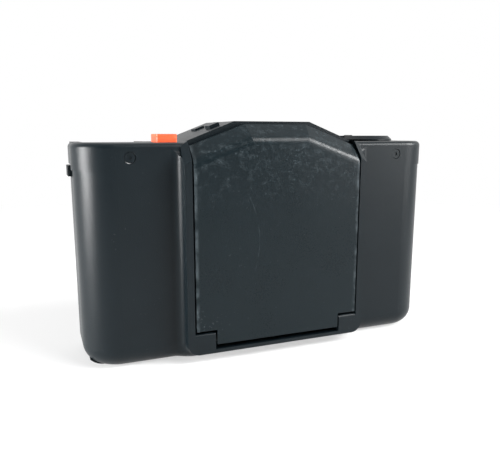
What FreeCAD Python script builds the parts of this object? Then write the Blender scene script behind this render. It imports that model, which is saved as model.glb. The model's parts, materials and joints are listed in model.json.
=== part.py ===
import FreeCAD, Part
import math
import os
import Sketcher

V = FreeCAD.Vector
os.makedirs("parts", exist_ok=True)
doc = FreeCAD.newDocument("FoldingCamera")

# ---------------------------------------------------------------- driving sizes, millimetres
SIZES = {
    # casing
    "body_width": 99.4, "body_depth": 31.0, "roof_height": 61.0, "shoulder_height": 55.8,
    "seam_height": 49.2, "shell_wall": 1.2, "plan_radius": 9.2, "foot_radius": 5.0,
    "cap_overhang": 0.3, "cap_edge_round": 1.3, "face_step": 3.8, "cove_radius": 2.3,
    "roof_inset": 12.8, "slope_foot_rim": 0.6, "back_split": 6.0, "seam_gap": 0.1,
    # raised housing and the door bay
    "housing_rim": 1.85, "housing_bottom": 2.5, "housing_corner": 3.0, "bay_half": 23.4,
    "bay_floor_depth": 5.9, "strip_top": 3.5,
    # drop-down door
    "door_gap": 0.4, "door_bottom": 4.8, "door_depth": 5.7, "door_skin": 1.6,
    "hinge_height": 5.6, "hinge_depth": 1.7, "hinge_pin_radius": 0.6, "running_gap": 0.05,
    "knuckle_round": 0.7, "foot_wall": 1.7, "foot_lip": -6.0,
    "knuckle_width": 5.4, "knuckle_top": 8.0, "notch_width": 5.8, "notch_top": 8.7,
    "door_top": 60.2, "door_shoulder": 54.9, "door_top_inset": 14.9, "door_foot_solid": 4.4,
    "bend_drop_side": 3.7, "bend_back_side": 3.9,
    # lens unit
    "lens_height": 29.0, "carrier_half": 17.0, "carrier_thick": 1.8, "tube_radius": 12.4,
    "glass_radius": 6.5, "aperture_ring_radius": 15.0, "focus_ring_radius": 13.6,
    "fit_gap": 0.3, "strut_inset": 2.8, "strut_length": 24.0, "strut_width": 3.0,
    "strut_thick": 1.0, "strut_depth": 3.6, "panel_bottom": 8.9, "strut_pivot_height": 20.0,
    # inside
    "film_plane": 9.0, "chassis_wall": 1.4, "frame_width": 36.0, "frame_height": 24.0,
    "chamber_radius": 12.5, "chamber_x": 34.8, "chamber_y": 2.05, "spool_x": 36.0, "spool_radius": 6.0,
    "sprocket_x": 23.5, "sprocket_radius": 4.0, "chassis_bottom": 2.8, "chassis_top": 46.8,
    # controls on the top
    "button_x": 27.65, "button_y": 4.9, "button_width": 5.1, "button_length": 7.2, "button_top": 57.75,
    "disc_x": 35.5, "disc_y": 2.9, "disc_radius": 8.5, "disc_top": 57.3,
    "disc_chamfer": 1.1, "shaft_radius": 2.0, "lever_inset": 11.7, "lever_y": 8.0,
    "lever_slot_front": -0.5, "lever_slot_length": 7.0, "lever_slot_bottom": 47.2,
    "lever_slot_top": 50.5,     "plug_x": 37.3, "plug_height": 52.3, "plug_radius": 1.4,
    "plug_recess": 0.15,
    "shoe_x": 39.2, "shoe_front": 0.6, "shoe_width": 18.6, "shoe_slot": 2.0, "shoe_lip": 2.3,
    "shoe_sheet": 0.5, "shoe_gap": 0.05, "counter_x": 26.9, "counter_y": 5.0, "counter_radius": 1.9,
    "counter_dial_radius": 2.0, "counter_offset": 0.9,
    "roof_lip": 6.0, "lip_round": 1.1, "lever_reach": 12.0, "lever_slot_reach": 13.2,
    "lever_arm_thick": 1.4,
    "lever_tip_thick": 2.6, "lever_tip_proud": 0.9, "hub_radius": 4.0,
    "finder_half": 8.0, "finder_bottom": 50.4, "finder_top": 58.6,     "eyepiece_half": 6.0,
    "eyepiece_bottom": 51.4, "eyepiece_top": 57.6, "cell_x": 15.0, "cell_radius": 3.0,
        # base
    "base_plate": 1.6, "back_wall": 0.9, "back_radius": 9.2, "tripod_x": 12.0, "tripod_y": 1.0,
    "tripod_radius": 3.175, "tripod_depth": 5.0, "rewind_button_radius": 1.8,
    "speed_dial_radius": 5.5, "key_radius": 5.0,
}
sheet = doc.addObject("Spreadsheet::Sheet", "Sizes")
for row, (alias, value) in enumerate(SIZES.items(), start=1):
    sheet.set("A%d" % row, alias)
    sheet.set("B%d" % row, repr(value))
    sheet.setAlias("B%d" % row, alias)
doc.recompute()


class Cells:
    """Reads the sheet's values for the places that Part's own functions need."""

    def __getattr__(self, alias):
        return float(sheet.get(alias))


cell = Cells()
FRONT = "(-Sizes.body_depth / 2)"
SIDE_FACE = "(-Sizes.body_depth / 2 + Sizes.face_step)"
nodes = []


def word(expression):
    """Turns a number or an expression into text that FreeCAD's expression engine reads."""
    return expression if isinstance(expression, str) else repr(float(expression))


def place(item, position, turn=None):
    """Binds an object's position to expressions, with an optional fixed rotation."""
    if turn:
        item.Placement = FreeCAD.Placement(V(0, 0, 0), FreeCAD.Rotation(V(*turn[0]), turn[1]))
    for axis, expression in zip("xyz", position):
        item.setExpression("Placement.Base.%s" % axis, word(expression))
    return item


def bind(item, **sizes):
    """Binds an object's sizes to expressions."""
    for prop, expression in sizes.items():
        item.setExpression(prop, word(expression))
    return item


def block(name, size, low):
    """A box by its size and its lowest corner."""
    item = doc.addObject("Part::Box", name)
    bind(item, Length=size[0], Width=size[1], Height=size[2])
    return place(item, low)


TURNS = {"z": None, "y": ((1, 0, 0), -90), "x": ((0, 1, 0), 90)}


def rod(name, radius, length, start, axis="z"):
    """A cylinder from a start point along +X, +Y or +Z."""
    item = doc.addObject("Part::Cylinder", name)
    bind(item, Radius=radius, Height=length)
    return place(item, start, TURNS[axis])


def cone(name, radius_a, radius_b, length, start, axis="z"):
    """A cone frustum from a start point along +X, +Y or +Z."""
    item = doc.addObject("Part::Cone", name)
    bind(item, Radius1=radius_a, Radius2=radius_b, Height=length)
    return place(item, start, TURNS[axis])


def ball(name, radius, centre):
    """A sphere by its centre."""
    item = doc.addObject("Part::Sphere", name)
    bind(item, Radius=radius)
    return place(item, centre)


def join(name, *items):
    """One solid from several that meet."""
    item = doc.addObject("Part::MultiFuse", name)
    item.Shapes = list(items)
    item.Refine = True
    return item


def cut(name, base, *tools):
    """A base less one or more tools."""
    item = doc.addObject("Part::Cut", name)
    item.Base = base
    item.Tool = tools[0] if len(tools) == 1 else join(name + "_tools", *tools)
    item.Refine = True
    return item


def common(name, *items):
    """What several solids share."""
    item = doc.addObject("Part::MultiCommon", name)
    item.Shapes = list(items)
    return item


def soften(name, base, radius, wanted, kind="Part::Fillet"):
    """Rounds or chamfers the edges of a Part object that the test picks."""
    doc.recompute()
    item = doc.addObject(kind, name)
    item.Base = base
    picked = [n for n, e in enumerate(base.Shape.Edges, start=1) if wanted(e.BoundBox)]
    if not picked:
        raise ValueError("no edge to soften on " + name)
    item.Edges = [(n, radius, radius) for n in picked]
    return item


def keep(label, item):
    """Marks a finished object as a sub-part under its own label."""
    item.Label = label
    nodes.append((label, item))
    return item


def origin_plane(body, role):
    """A body's own origin plane by its role."""
    return [f for f in body.Origin.OriginFeatures if f.Role == role][0]


def outline(body, name, role, offset, points):
    """A closed sketch of straight lines whose corners are bound to expressions."""
    sketch = body.newObject("Sketcher::SketchObject", name)
    sketch.AttachmentSupport = [(origin_plane(body, role), "")]
    sketch.MapMode = "FlatFace"
    sketch.setExpression("AttachmentOffset.Base.z", word(offset))
    start = [(10.0 * i, 5.0 * (i * i % 7)) for i in range(len(points))]
    for i, point in enumerate(start):
        other = start[(i + 1) % len(points)]
        sketch.addGeometry(Part.LineSegment(V(*point, 0), V(*other, 0)), False)
    for i in range(len(points)):
        sketch.addConstraint(Sketcher.Constraint("Coincident", i, 2, (i + 1) % len(points), 1))
    for i, (across, up) in enumerate(points):
        for kind, value in (("DistanceX", across), ("DistanceY", up)):
            index = sketch.addConstraint(Sketcher.Constraint(kind, -1, 1, i, 1, 1.0))
            sketch.setExpression("Constraints[%d]" % index, word(value))
    return sketch


def pad(body, name, sketch, length, reverse=False):
    """A pad of a sketch by a bound length."""
    feature = body.newObject("PartDesign::Pad", name)
    feature.Profile = sketch
    feature.setExpression("Length", word(length))
    feature.Reversed = reverse
    doc.recompute()
    return feature


def pocket(body, name, sketch, length, reverse=False):
    """A pocket of a sketch by a bound length, checked to remove something."""
    before = body.Tip.Shape.Volume
    feature = body.newObject("PartDesign::Pocket", name)
    feature.Profile = sketch
    feature.setExpression("Length", word(length))
    feature.Reversed = reverse
    doc.recompute()
    if not feature.Shape.Volume < before - 1e-6:
        raise ValueError("pocket cuts nothing: " + name)
    return feature


def dress(body, kind, name, radius, wanted):
    """A PartDesign fillet or chamfer on the edges of the tip that the test picks."""
    base = body.Tip
    picked = ["Edge%d" % n for n, e in enumerate(base.Shape.Edges, start=1) if wanted(e.BoundBox)]
    if not picked:
        raise ValueError("no edge to dress on " + name)
    feature = body.newObject("PartDesign::" + kind, name)
    feature.Base = (base, picked)
    feature.setExpression("Radius" if kind == "Fillet" else "Size", word(radius))
    doc.recompute()
    if feature.Shape.isNull() or not feature.Shape.isValid():
        raise ValueError("cannot dress " + name)
    return feature


def near(a, b, slack=1e-3):
    """True where two lengths agree."""
    return abs(a - b) < slack


def upright(box):
    """True for a vertical straight edge's box."""
    return near(box.XMin, box.XMax) and near(box.YMin, box.YMax) and box.ZLength > 1.0


def mirrored_x(points):
    """Right half of an outline, listed bottom to top, completed with its mirror image."""
    left = [("-(%s)" % word(x), z) for x, z in reversed(points)]
    return points + left


# ---------------------------------------------------------------- front shell
front = doc.addObject("PartDesign::Body", "front_shell_body")
half = "Sizes.body_width / 2"
plan = [("-(%s)" % half, "Sizes.back_split"), ("-(%s)" % half, SIDE_FACE),
        (half, SIDE_FACE), (half, "Sizes.back_split")]
pad(front, "front_block", outline(front, "front_plan", "XY_Plane", 0, plan), "Sizes.seam_height")
dress(front, "Fillet", "front_corners", "Sizes.plan_radius",
      lambda b: upright(b) and near(b.YMin, -cell.body_depth / 2 + cell.face_step))
housing = mirrored_x([("(Sizes.bay_half + Sizes.housing_rim)", "Sizes.housing_bottom"),
                      ("(Sizes.bay_half + Sizes.housing_rim)", "Sizes.seam_height")])
pad(front, "housing", outline(front, "housing_outline", "XZ_Plane",
                              "Sizes.body_depth / 2 - Sizes.face_step", housing),
    "Sizes.face_step")
dress(front, "Fillet", "housing_corners", "Sizes.housing_corner",
      lambda b: near(b.ZMin, cell.housing_bottom) and near(b.ZMax,
          cell.housing_bottom) and near(b.YLength, cell.face_step))
face_y = -cell.body_depth / 2 + cell.face_step
dress(front, "Fillet", "housing_cove", "Sizes.cove_radius",
      lambda b: near(b.YMin, face_y) and near(b.YMax,
                                              face_y) and b.XMin > -(cell.bay_half + cell.housing_rim) - 0.01
      and b.XMax < (cell.bay_half + cell.housing_rim) + 0.01 and b.ZMax > 1.0)
dress(front, "Fillet", "foot_round", "Sizes.foot_radius",
      lambda b: near(b.ZMax, 0) and b.YLength > 1.0 and near(abs(b.XMin + b.XMax) / 2,
          cell.body_width / 2, 4.7)
      and not near(b.YMin, b.YMax))
knuckle_faces = [("(Sizes.bay_half - Sizes.knuckle_width)", "Sizes.strip_top"),
                 ("(Sizes.bay_half - Sizes.knuckle_width)", "Sizes.knuckle_top"),
                 ("Sizes.bay_half", "Sizes.knuckle_top"), ("Sizes.bay_half", "Sizes.seam_height + 1")]
pocket(front, "door_bay", outline(front, "bay_outline", "XZ_Plane", "Sizes.body_depth / 2",
                                  mirrored_x(knuckle_faces)),
       "Sizes.bay_floor_depth + Sizes.shell_wall + 1")
dress(front, "Fillet", "knuckle_round", "Sizes.knuckle_round",
      lambda b: near(b.ZMin, cell.knuckle_top) and near(b.ZMax, cell.knuckle_top) and b.XLength > 3
      and near(b.YMin, -cell.body_depth / 2))


def rounded_block(name, size, low, radius, wanted=upright):
    """A box whose picked edges, the vertical ones by default, are rounded."""
    return soften(name, block(name + "_blank", size, low), radius, wanted)


INNER_HALF = "(Sizes.body_width / 2 - Sizes.shell_wall)"
INNER_FRONT = "(-Sizes.body_depth / 2 + Sizes.face_step + Sizes.shell_wall)"
inner_radius = cell.plan_radius - cell.shell_wall
hollow = rounded_block("front_hollow", ("2 * " + INNER_HALF, "Sizes.body_depth", "Sizes.seam_height"),
                       ("-" + INNER_HALF, INNER_FRONT, "Sizes.foot_wall"), inner_radius)
hollow = soften("front_hollow_foot", hollow, cell.foot_radius - cell.shell_wall,
                lambda b: near(b.ZMin, cell.foot_wall) and near(b.ZMax, cell.foot_wall))
foot_opening = block("front_foot_opening", ("Sizes.body_width + 2", "Sizes.body_depth",
                                            "Sizes.base_plate + Sizes.seam_gap + 1"),
                     ("-Sizes.body_width / 2 - 1", "Sizes.foot_lip", -1))
pin_holes = [rod("front_pin_hole_%s" % side, "Sizes.hinge_pin_radius",
                 "Sizes.bay_half - (Sizes.bay_half - Sizes.knuckle_width) + 1",
                 (start, FRONT + " + Sizes.hinge_depth", "Sizes.hinge_height"), "x")
             for side, start in (("left", "-Sizes.bay_half + 0.6"),
                                 ("right", "(Sizes.bay_half - Sizes.knuckle_width) - 1.6"))]
lever_slot = block("lever_slot_low", ("Sizes.shell_wall * 3", "Sizes.lever_slot_length",
                                      "Sizes.body_depth"),
                   ("-Sizes.body_width / 2 - 1", "Sizes.lever_slot_front", "Sizes.lever_slot_bottom"))
front_shell = keep("front_shell", cut("front_shell_cut", front, hollow, foot_opening, lever_slot,
                                      *pin_holes))
doc.recompute()


def prism(name, points, y_front, y_back):
    """A prism along Y with an outline in X and Z, as a body with one sketch and one pad."""
    body = doc.addObject("PartDesign::Body", name)
    pad(body, name + "_pad", outline(body, name + "_outline", "XZ_Plane", "-(%s)" % word(y_back), points),
        "(%s) - (%s)" % (word(y_back), word(y_front)))
    return body


BACK = "(Sizes.body_depth / 2)"
CAP_HALF = "(Sizes.body_width / 2 + Sizes.cap_overhang)"
LIP = "(-Sizes.body_depth / 2 + Sizes.roof_lip)"


# ---------------------------------------------------------------- top cover
def facet_bends(body, name, side_z, round_radius):
    """Bends the top and the two sloping edges of a front prism back from its face."""
    front_y = body.Tip.Shape.BoundBox.YMin
    edges = ["Edge%d" % n for n, e in enumerate(body.Tip.Shape.Edges, start=1)
             if near(e.BoundBox.YMax, front_y, 0.01) and e.BoundBox.ZMin > side_z - 0.01]
    base = body.Tip
    feature = body.newObject("PartDesign::Chamfer", name)
    feature.Base = (base, edges)
    feature.ChamferType = "Two distances"
    feature.setExpression("Size", "Sizes.bend_back_side")
    feature.setExpression("Size2", "Sizes.bend_drop_side")
    doc.recompute()
    if feature.Shape.isNull() or not feature.Shape.isValid():
        raise ValueError("cannot bend " + name)
    if not round_radius:
        return
    creases = [n for n, e in enumerate(feature.Shape.Edges, start=1)
               if near(e.BoundBox.YMax, front_y, 0.01) and e.BoundBox.ZMin > side_z - 6.0
               and e.BoundBox.XLength > 2.0]
    softened = body.newObject("PartDesign::Fillet", name + "_round")
    softened.Base = (feature, ["Edge%d" % n for n in creases])
    softened.Radius = round_radius
    doc.recompute()
    if softened.Shape.isNull() or not softened.Shape.isValid():
        raise ValueError("cannot round " + name)


shoulder = rounded_block("cap_shoulder", ("2 * " + CAP_HALF, "Sizes.body_depth - Sizes.face_step",
                                          "Sizes.shoulder_height - Sizes.seam_height"),
                         ("-" + CAP_HALF, FRONT + " + Sizes.face_step", "Sizes.seam_height"),
                         cell.plan_radius)
shoulder = soften("cap_shoulder_round", shoulder, cell.cap_edge_round,
                  lambda b: near(b.ZMin, cell.shoulder_height) and near(b.ZMax, cell.shoulder_height))
roof_line = [("(Sizes.bay_half + Sizes.slope_foot_rim)", "Sizes.shoulder_height"),
             ("(Sizes.bay_half - Sizes.roof_inset)", "Sizes.roof_height")]
hump = prism("cap_hump", mirrored_x([("(Sizes.bay_half + Sizes.slope_foot_rim)",
                                      "Sizes.seam_height")] + roof_line), LIP,
             BACK)
dress(hump, "Fillet", "hump_lip", "Sizes.lip_round",
      lambda b: near(b.YMax, -cell.body_depth / 2 + cell.roof_lip) and b.ZMin > cell.shoulder_height - 0.1)
dress(hump, "Fillet", "hump_back", "Sizes.lip_round",
      lambda b: near(b.YMin, cell.body_depth / 2) and b.ZMin > cell.shoulder_height - 0.1)
collar = prism("cap_collar", mirrored_x([("(Sizes.bay_half + Sizes.housing_rim)", "Sizes.seam_height"),
                                         ("(Sizes.bay_half + Sizes.housing_rim)",
                                          "Sizes.shoulder_height - 0.9")] + roof_line),
               FRONT, LIP + " + 1")
facet_bends(collar, "collar_bend", cell.shoulder_height - 1.0, 0)
COVE_HEIGHT = "Sizes.shoulder_height - Sizes.cap_edge_round - Sizes.seam_height"
coves = []
for side, low, centre in (("left", "-(Sizes.bay_half + Sizes.housing_rim) - Sizes.cove_radius",
                           "-(Sizes.bay_half + Sizes.housing_rim) - Sizes.cove_radius"),
                          ("right", "(Sizes.bay_half + Sizes.housing_rim)",
                           "(Sizes.bay_half + Sizes.housing_rim) + Sizes.cove_radius")):
    corner = block("cove_block_" + side, ("Sizes.cove_radius", "Sizes.cove_radius + 0.5", COVE_HEIGHT),
                   (low, FRONT + " + Sizes.face_step - Sizes.cove_radius", "Sizes.seam_height"))
    round_cut = rod("cove_cut_" + side, "Sizes.cove_radius", COVE_HEIGHT + " + 1",
                    (centre, FRONT + " + Sizes.face_step - Sizes.cove_radius", "Sizes.seam_height"))
    top_cut = rod("cove_end_" + side, "Sizes.cove_radius", "2 * Sizes.cove_radius",
                  (low + " - 0.5 * Sizes.cove_radius", FRONT + " + Sizes.face_step - Sizes.cove_radius",
                   "Sizes.seam_height + " + COVE_HEIGHT), "x")
    coves.append(cut("cove_" + side, corner, round_cut, top_cut))
cap_solid = join("cap_outer", shoulder, hump, collar, *coves)
cap_room = rounded_block("cap_room", ("2 * (%s - Sizes.shell_wall)" % CAP_HALF,
                                      "Sizes.body_depth - Sizes.face_step - 2 * Sizes.shell_wall",
                                      "Sizes.shoulder_height - Sizes.seam_height - Sizes.shell_wall + 1"),
                         ("-(%s - Sizes.shell_wall)" % CAP_HALF,
                          FRONT + " + Sizes.face_step + Sizes.shell_wall",
                          "Sizes.seam_height - 1"), cell.plan_radius - cell.shell_wall)
hump_room = prism("hump_room", mirrored_x([
    ("(Sizes.bay_half + Sizes.slope_foot_rim) - Sizes.shell_wall", "Sizes.seam_height - 1"),
    ("(Sizes.bay_half + Sizes.slope_foot_rim) - Sizes.shell_wall",
     "Sizes.shoulder_height - Sizes.shell_wall"),
    ("(Sizes.bay_half - Sizes.roof_inset) - 0.3", "Sizes.roof_height - Sizes.shell_wall")]),
    LIP + " + Sizes.shell_wall", BACK + " - Sizes.shell_wall")
cap_bay = block("cap_bay", ("2 * Sizes.bay_half", "Sizes.roof_lip + 1", "Sizes.roof_height"),
                ("-Sizes.bay_half", FRONT + " - 1", "Sizes.seam_height - 1"))
finder_hole = rounded_block("finder_hole", ("2 * Sizes.finder_half", "Sizes.shell_wall + 2",
                                            "Sizes.finder_top - Sizes.finder_bottom"),
                            ("-Sizes.finder_half", LIP + " - 1", "Sizes.finder_bottom"), 0.8,
                            lambda b: b.YLength > 2)
eye_hole = rounded_block("eye_hole", ("2 * Sizes.eyepiece_half", "Sizes.shell_wall + 2",
                                      "Sizes.eyepiece_top - Sizes.eyepiece_bottom"),
                         ("-Sizes.eyepiece_half", BACK + " - Sizes.shell_wall - 1",
                          "Sizes.eyepiece_bottom"), 0.8,
                         lambda b: b.YLength > 2)
cell_hole = rod("cell_hole", "Sizes.cell_radius", "Sizes.shell_wall + 2",
                ("Sizes.cell_x", LIP + " - 1", "Sizes.finder_bottom + Sizes.cell_radius + 0.4"), "y")
button_hole = block("button_hole", ("Sizes.button_width + 2 * Sizes.fit_gap * 0.5",
                                    "Sizes.button_length + Sizes.fit_gap", "Sizes.shell_wall + 2"),
                    ("-Sizes.button_x - Sizes.button_width / 2 - Sizes.fit_gap / 2",
                     "-Sizes.button_y - Sizes.button_length / 2 - Sizes.fit_gap / 2",
                     "Sizes.shoulder_height - Sizes.shell_wall - 1"))
disc_hole = rod("disc_hole", "Sizes.shaft_radius + Sizes.running_gap", "Sizes.shell_wall + 2",
                ("Sizes.disc_x", "Sizes.disc_y", "Sizes.shoulder_height - Sizes.shell_wall - 1"))
plug_holes = [rod("plug_hole_%s" % side, "Sizes.plug_radius", "Sizes.shell_wall + 1",
                  (x, FRONT + " + Sizes.face_step - 1", "Sizes.plug_height"), "y")
              for side, x in (("left", "-Sizes.plug_x"), ("right", "Sizes.plug_x"))]
cap_lever_slot = rod("cap_lever_slot", "Sizes.lever_slot_reach",
                     "Sizes.lever_slot_top - Sizes.seam_height + 1",
                     ("-(Sizes.body_width / 2 - Sizes.lever_inset)", "Sizes.lever_y",
                      "Sizes.seam_height - 1"))
SHOE_LOW = "(Sizes.shoulder_height - Sizes.shoe_slot - 2 * Sizes.shoe_sheet)"
SHOE_HALF = "(Sizes.shoe_width / 2 + Sizes.shoe_sheet)"
shoe_well = block("shoe_well", ("2 * %s + 2 * Sizes.shoe_gap" % SHOE_HALF, "Sizes.body_depth",
                                "Sizes.shoulder_height"),
                  ("-Sizes.shoe_x - %s - Sizes.shoe_gap" % SHOE_HALF, "Sizes.shoe_front - Sizes.shoe_gap",
                   SHOE_LOW + " - Sizes.shoe_gap"))
counter_hole = rod("counter_hole", "Sizes.counter_radius", 5, ("-Sizes.counter_x", "Sizes.counter_y",
           "Sizes.shoulder_height - Sizes.shell_wall - 1"))
cap_tip_slot = block("cap_tip_slot", ("Sizes.shell_wall * 4", "Sizes.lever_slot_length + 1",
                                      "Sizes.lever_slot_top - Sizes.seam_height + 1"),
                     ("-" + CAP_HALF + " - 1", "Sizes.lever_slot_front", "Sizes.seam_height - 1"))
cap_lever_cut = cut("cap_lever_cut", cap_lever_slot,
                    block("cap_slot_front", (80, 40, 10), (-80, -40.5, 45)),
                    block("cap_slot_right", (60, 80, 10),
                          ("-(Sizes.body_width / 2 - Sizes.lever_inset) + 6", -40, 45)))
top_cover = keep("top_cover", cut("top_cover_cut", cap_solid, cap_room, hump_room, cap_bay, finder_hole,
                                  eye_hole,
                                  cell_hole, button_hole, disc_hole, cap_lever_cut, cap_tip_slot,
                                  shoe_well, counter_hole, *plug_holes))
doc.recompute()

# ---------------------------------------------------------------- front door
door = doc.addObject("PartDesign::Body", "front_door_body")
DOOR_HALF = "(Sizes.bay_half - Sizes.door_gap)"
door_outline = mirrored_x([("(Sizes.bay_half - Sizes.notch_width)", "Sizes.door_bottom"),
                           ("(Sizes.bay_half - Sizes.notch_width)", "Sizes.notch_top"),
                           (DOOR_HALF, "Sizes.notch_top"), (DOOR_HALF, "Sizes.door_shoulder"),
                           ("(Sizes.bay_half - Sizes.door_top_inset)", "Sizes.door_top")])
pad(door, "door_block", outline(door, "door_outline", "XZ_Plane", "-(%s + Sizes.door_depth)" % FRONT,
                                door_outline),
    "Sizes.door_depth")
facet_bends(door, "door_bend", cell.door_shoulder, 3.0)
FLANGE = "1.2"
door_room = prism("door_room", mirrored_x([
    (DOOR_HALF + " - " + FLANGE, "Sizes.door_bottom + Sizes.door_foot_solid"),
    (DOOR_HALF + " - " + FLANGE, "Sizes.door_shoulder - 5.2"),
    ("(Sizes.bay_half - Sizes.door_top_inset) - 1.2", "Sizes.door_top - 5.4")]),
    FRONT + " + Sizes.door_skin", FRONT + " + Sizes.door_depth + 1")
door_foot_relief = block("door_foot_relief", ("2 * Sizes.bay_half", 4, "Sizes.door_foot_solid + 1"),
                         ("-Sizes.bay_half", FRONT + " + 2 * Sizes.hinge_depth", "Sizes.door_bottom - 1"))
door_pin_bores = [rod("door_pin_bore_%s" % side, "Sizes.hinge_pin_radius + Sizes.running_gap", 5,
                      (x, FRONT + " + Sizes.hinge_depth", "Sizes.hinge_height"), "x")
                  for side, x in (("left", "-(Sizes.bay_half - Sizes.notch_width) - 1"),
                                  ("right", "(Sizes.bay_half - Sizes.notch_width) - 4"))]
front_door = keep("front_door", cut("front_door_cut", door, door_room, door_foot_relief, *door_pin_bores))
doc.recompute()


# ---------------------------------------------------------------- back cover, with the base plate
BACK_ROOM = "(%s - Sizes.back_wall)" % BACK
cover_outer = rounded_block("back_outer", ("Sizes.body_width", "Sizes.body_depth + 10",
                                           "Sizes.seam_height - Sizes.seam_gap"),
                            ("-Sizes.body_width / 2", BACK + " - Sizes.body_depth - 10", 0),
                            cell.back_radius,
                            lambda b: upright(b) and near(b.YMax, cell.body_depth / 2))
doc.recompute()
cover_outer = soften("back_foot_round", cover_outer, cell.foot_radius,
                     lambda b: near(b.ZMin, 0) and near(b.ZMax, 0) and b.YLength > 1
                     and near(b.YMin, -cell.body_depth / 2 - 10))
back_front_cut = block("back_front_cut", (120, 60, 60), (-60, "Sizes.back_split + Sizes.seam_gap - 60",
           "Sizes.base_plate"))
plate_front_cut = block("plate_front_cut", (120, 60, 10), (-60, "Sizes.foot_lip + Sizes.seam_gap - 60", -1))
back_room = rounded_block("back_room", ("2 * " + INNER_HALF, "Sizes.body_depth + 10",
                                        "Sizes.body_depth * 2"),
                          ("-" + INNER_HALF, BACK_ROOM + " - Sizes.body_depth - 10", "Sizes.base_plate"),
                          cell.back_radius - cell.shell_wall, lambda b: upright(b) and b.YMax > 0)
back_room = soften("back_room_foot", back_room, cell.foot_radius - cell.shell_wall,
                   lambda b: near(b.ZMin, cell.base_plate) and near(b.ZMax, cell.base_plate))
back_lever_cut = cut("back_lever_cut", rod("back_lever_disc", "Sizes.lever_slot_reach", 4,
                                           ("-(Sizes.body_width / 2 - Sizes.lever_inset)",
                                            "Sizes.lever_y", "Sizes.lever_slot_bottom")),
                     block("back_slot_right", (60, 80, 10),
                           ("-(Sizes.body_width / 2 - Sizes.lever_inset) + 6", -40, 45)))
DIAL_X, KEY_X, BASE_Y = "Sizes.body_width * 0.28", "-Sizes.body_width * 0.3", "Sizes.tripod_y + 2"
dial_bore = rod("dial_bore", "Sizes.speed_dial_radius + Sizes.fit_gap", 4, (DIAL_X, BASE_Y, -1))
key_bore = rod("key_bore", "Sizes.key_radius + Sizes.fit_gap", 4, (KEY_X, BASE_Y, -1))
release_bore = rod("release_bore", "Sizes.rewind_button_radius + Sizes.running_gap", 4,
                   ("-Sizes.body_width * 0.13", BASE_Y, -1))
bush_bore = rod("bush_bore", "Sizes.tripod_radius + 1.3", 4, ("Sizes.tripod_x", "Sizes.tripod_y", -1))
back_cover = keep("back_cover", cut("back_cover_cut", cover_outer, back_front_cut, plate_front_cut,
                                    back_room,
                                    back_lever_cut, dial_bore, key_bore, release_bore, bush_bore))

tripod_bush = keep("tripod_bush", cut("tripod_bush_cut",
    join("tripod_bush_body",
         rod("bush_barrel", "Sizes.tripod_radius + 1.3", "Sizes.base_plate",
             ("Sizes.tripod_x", "Sizes.tripod_y", 0)),
         rod("bush_flange", "Sizes.tripod_radius + 2.6", "Sizes.tripod_depth + 0.8 - Sizes.base_plate",
             ("Sizes.tripod_x", "Sizes.tripod_y", "Sizes.base_plate"))),
    rod("tripod_bore", "Sizes.tripod_radius", "Sizes.tripod_depth + 1",
        ("Sizes.tripod_x", "Sizes.tripod_y", -1))))
film_speed_dial = keep("film_speed_dial", cut("film_speed_dial_cut",
    join("speed_dial_body",
         rod("speed_dial_face", "Sizes.speed_dial_radius", "Sizes.base_plate", (DIAL_X, BASE_Y, 0.2)),
         rod("speed_dial_flange", "Sizes.speed_dial_radius + 1.2", 0.8,
             (DIAL_X, BASE_Y, "Sizes.base_plate + 0.1"))),
    block("speed_dial_slot", ("2 * Sizes.speed_dial_radius - 3", 1.2, 1),
          (DIAL_X + " - Sizes.speed_dial_radius + 1.5",
           BASE_Y + " - 0.6", -0.1))))
back_lock_key = keep("back_lock_key", join("back_lock_key_join",
    rod("key_face", "Sizes.key_radius", 1.0, (KEY_X, BASE_Y, 0.5)),
    rod("key_flange", "Sizes.key_radius + 1.2", 0.8, (KEY_X, BASE_Y, "Sizes.base_plate + 0.1")),
    rod("key_neck", "Sizes.key_radius - 0.6", 1.0, (KEY_X, BASE_Y, "Sizes.base_plate - 0.3")),
    block("key_wing", ("2 * Sizes.key_radius - 1.6", 1.2, 0.5),
          (KEY_X + " - Sizes.key_radius + 0.8", BASE_Y + " - 0.6", 0.1))))
rewind_release = keep("rewind_release_button", join("rewind_release_join",
    rod("rewind_button_pin", "Sizes.rewind_button_radius", 2.4, ("-Sizes.body_width * 0.13", BASE_Y, 0.3)),
    rod("rewind_button_flange", "Sizes.rewind_button_radius + 0.9", 0.5,
        ("-Sizes.body_width * 0.13", BASE_Y, "Sizes.base_plate + 0.1"))))
pressure_plate = keep("pressure_plate", rounded_block("pressure_plate_form", (36.4, 0.8, 33),
    (-18.2, "Sizes.film_plane + 0.3", "Sizes.lens_height - 16.5"), 1.5,
    lambda b: near(b.YLength, 0.8, 0.01) and b.XLength < 0.1))
plate_spring = keep("pressure_plate_spring", join("plate_spring_join",
    block("plate_spring_bar", (34, 0.3, 6), (-17, BACK_ROOM + " - 0.3", "Sizes.lens_height - 3")),
    block("plate_spring_left", (0.3, BACK_ROOM + " - 1.6 - Sizes.film_plane", 6),
          (-17, "Sizes.film_plane + 1.4", "Sizes.lens_height - 3")),
    block("plate_spring_right", (0.3, BACK_ROOM + " - 1.6 - Sizes.film_plane", 6),
          (16.7, "Sizes.film_plane + 1.4", "Sizes.lens_height - 3"))))

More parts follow.
